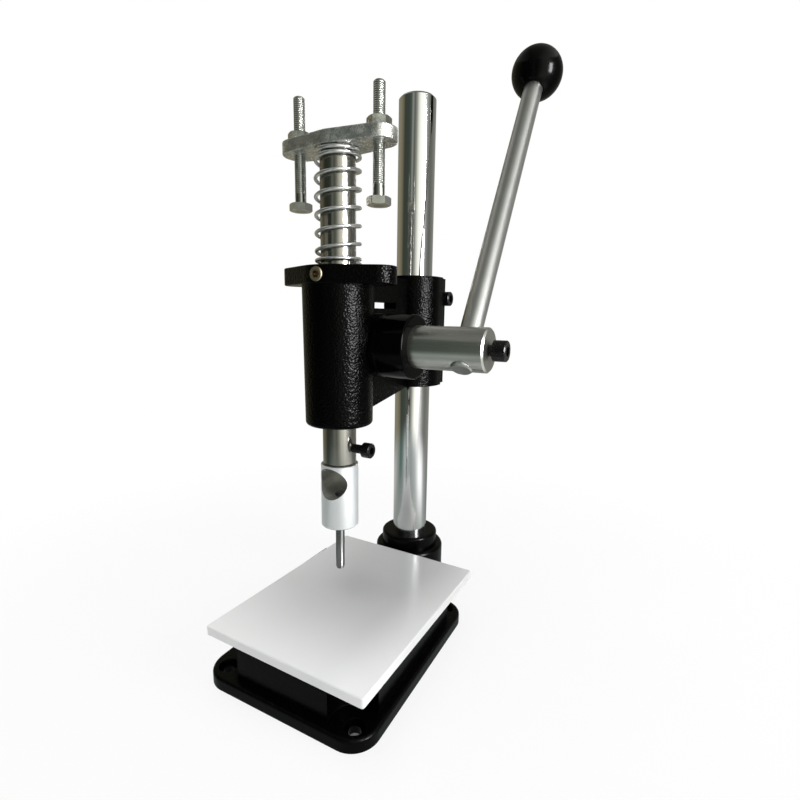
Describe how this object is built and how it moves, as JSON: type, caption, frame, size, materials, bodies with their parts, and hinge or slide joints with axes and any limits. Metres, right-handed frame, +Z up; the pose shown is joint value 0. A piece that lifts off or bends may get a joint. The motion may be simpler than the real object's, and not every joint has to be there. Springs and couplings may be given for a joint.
{
  "type": "paper drill",
  "caption": "Hand-lever paper punching drill: cast base and head on a round column, a rack-driven ram with return spring, hollow punch, cutting board and a long ball-ended lever",
  "frame": {"origin": "centre of the base plate's underside, without its rear lug (the bolt pattern's centre)", "axes": "+Z up along the column, +X to the operator's right (the lever's side), +Y away from the operator towards the column"},
  "size_m": [0.1448, 0.209, 0.3802],
  "materials": {
    "base_enamel": "glossy black enamel over cast iron, slightly pitted",
    "head_paint": "black orange-peel paint over cast iron",
    "column_chrome": "mirror chrome plating",
    "board_plastic": "satin white plastic",
    "ground_steel": "ground steel",
    "turned_steel": "turned steel with fine rings",
    "lever_steel": "satin drawn steel",
    "spring_wire": "bright drawn wire",
    "tool_steel": "dark polished tool steel",
    "zinc": "bright zinc plating",
    "black_oxide": "black oxide steel",
    "brass": "yellow passivated screw",
    "bright_aluminium": "bright turned aluminium",
    "ball_plastic": "polished black plastic"
  },
  "bodies": {
    "stand": {"base": "base_enamel", "column": "column_chrome", "column_screw": "black_oxide", "column_washer": "zinc"},
    "board": {"cutting_board": "board_plastic"},
    "head": {"head": "head_paint", "clamp_screws": "black_oxide", "guide_screw": "brass", "return_spring": "spring_wire"},
    "ram": {"ram": "ground_steel", "punch_holder": "bright_aluminium", "holder_screw": "black_oxide", "punch": "tool_steel", "top_plate": "zinc", "plate_screw": "zinc", "stop_nut_left": "zinc", "stop_nut_right": "zinc"},
    "pinion": {"pinion_shaft": "turned_steel", "shaft_washer": "zinc", "shaft_ring": "black_oxide", "lever_screw": "black_oxide"},
    "lever": {"lever_rod": "lever_steel", "ball_knob": "ball_plastic"},
    "stop_bolt_left": {"stop_bolt_left": "zinc"},
    "stop_bolt_right": {"stop_bolt_right": "zinc"}
  },
  "joints": [
    {"name": "board_lift", "type": "slide", "parent": "stand", "child": "board", "axis": [0, 0, 1], "range_m": [0, 0.012]},
    {"name": "head_height", "type": "slide", "parent": "stand", "child": "head", "axis": [0, 0, 1], "range_m": [-0.015, 0.1]},
    {"name": "ram_stroke", "type": "slide", "parent": "head", "child": "ram", "axis": [0, 0, -1], "range_m": [0, 0.0167], "stiffness_N_per_m": 1200, "springref_m": -0.022, "deforming": ["return_spring"]},
    {"name": "lever_turn", "type": "hinge", "parent": "head", "child": "pinion", "pos_m": [0, 0.009, 0.1888], "axis": [1, 0, 0], "range_deg": [0, 106.3]},
    {"name": "lever_reach", "type": "slide", "parent": "pinion", "child": "lever", "axis": [0, 0.5402, 0.8415], "range_m": [-0.06, 0.008]},
    {"name": "stop_left", "type": "slide", "parent": "ram", "child": "stop_bolt_left", "axis": [0, 0, 1], "range_m": [-0.01, 0.02]},
    {"name": "stop_right", "type": "slide", "parent": "ram", "child": "stop_bolt_right", "axis": [0, 0, 1], "range_m": [-0.01, 0.02]}
  ],
  "couplings": [
    {"joint": "ram_stroke", "follows": "lever_turn", "m_per_rad": 0.009}
  ]
}
